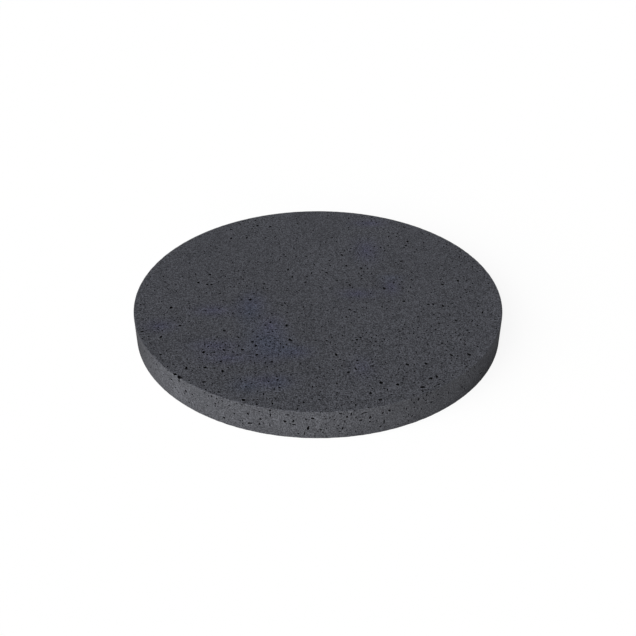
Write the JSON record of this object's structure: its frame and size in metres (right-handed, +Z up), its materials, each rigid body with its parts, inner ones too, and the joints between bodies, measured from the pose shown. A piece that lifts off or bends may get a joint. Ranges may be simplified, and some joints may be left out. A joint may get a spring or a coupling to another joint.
{
  "type": "round paving slab",
  "caption": "Round concrete paving slab with a flat walking face, a straight rim, crisp arrises and fine air voids.",
  "frame": {"origin": "centre of the bed face, on the slab's axis", "axes": "+Z up along the slab's axis through the walking face, -Y towards the side the picture shows, +X to the right of it"},
  "size_m": [0.5, 0.5, 0.04],
  "materials": {
    "cast_concrete": "anthracite wet-cast concrete, matte, with fine air voids"
  },
  "bodies": {
    "root": {"paving_slab": "cast_concrete"}
  },
  "joints": []
}
